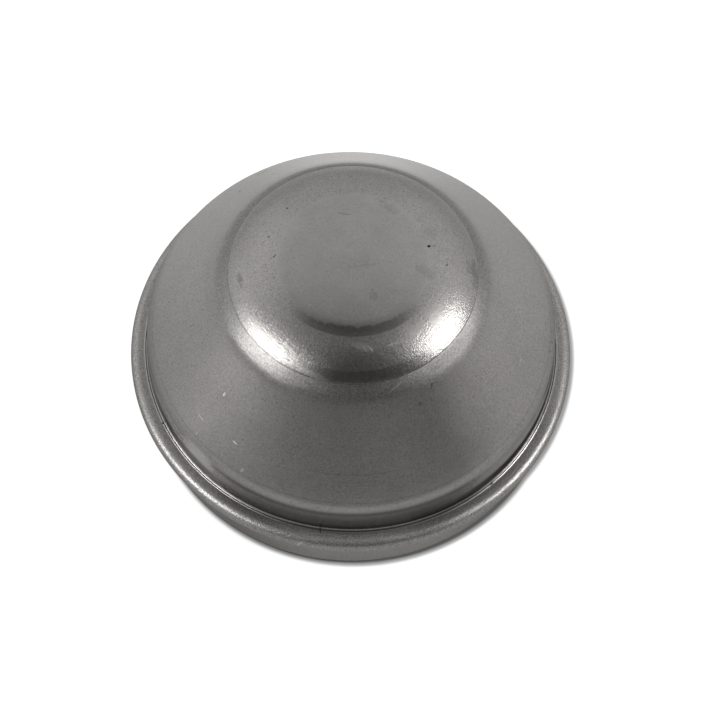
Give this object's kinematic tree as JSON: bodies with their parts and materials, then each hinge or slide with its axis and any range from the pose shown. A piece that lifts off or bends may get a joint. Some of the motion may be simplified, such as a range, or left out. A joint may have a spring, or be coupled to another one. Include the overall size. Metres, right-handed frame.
{
  "type": "hub grease cap",
  "caption": "Domed bare steel cap, drawn from sheet, with a folded bead and a press-in skirt that closes the end of a wheel hub over its bearing grease.",
  "frame": {"origin": "middle of the open foot, in the plane of the skirt's edge", "axes": "+Z is the cap's axis and points away from the hub, from the open foot to the crown; X and Y are alike"},
  "size_m": [0.0536, 0.0536, 0.0293],
  "materials": {
    "bare_steel": "satin bare steel with fine grain, faint draw rings and light handling marks"
  },
  "bodies": {
    "root": {"grease_cap": "bare_steel"}
  },
  "joints": []
}
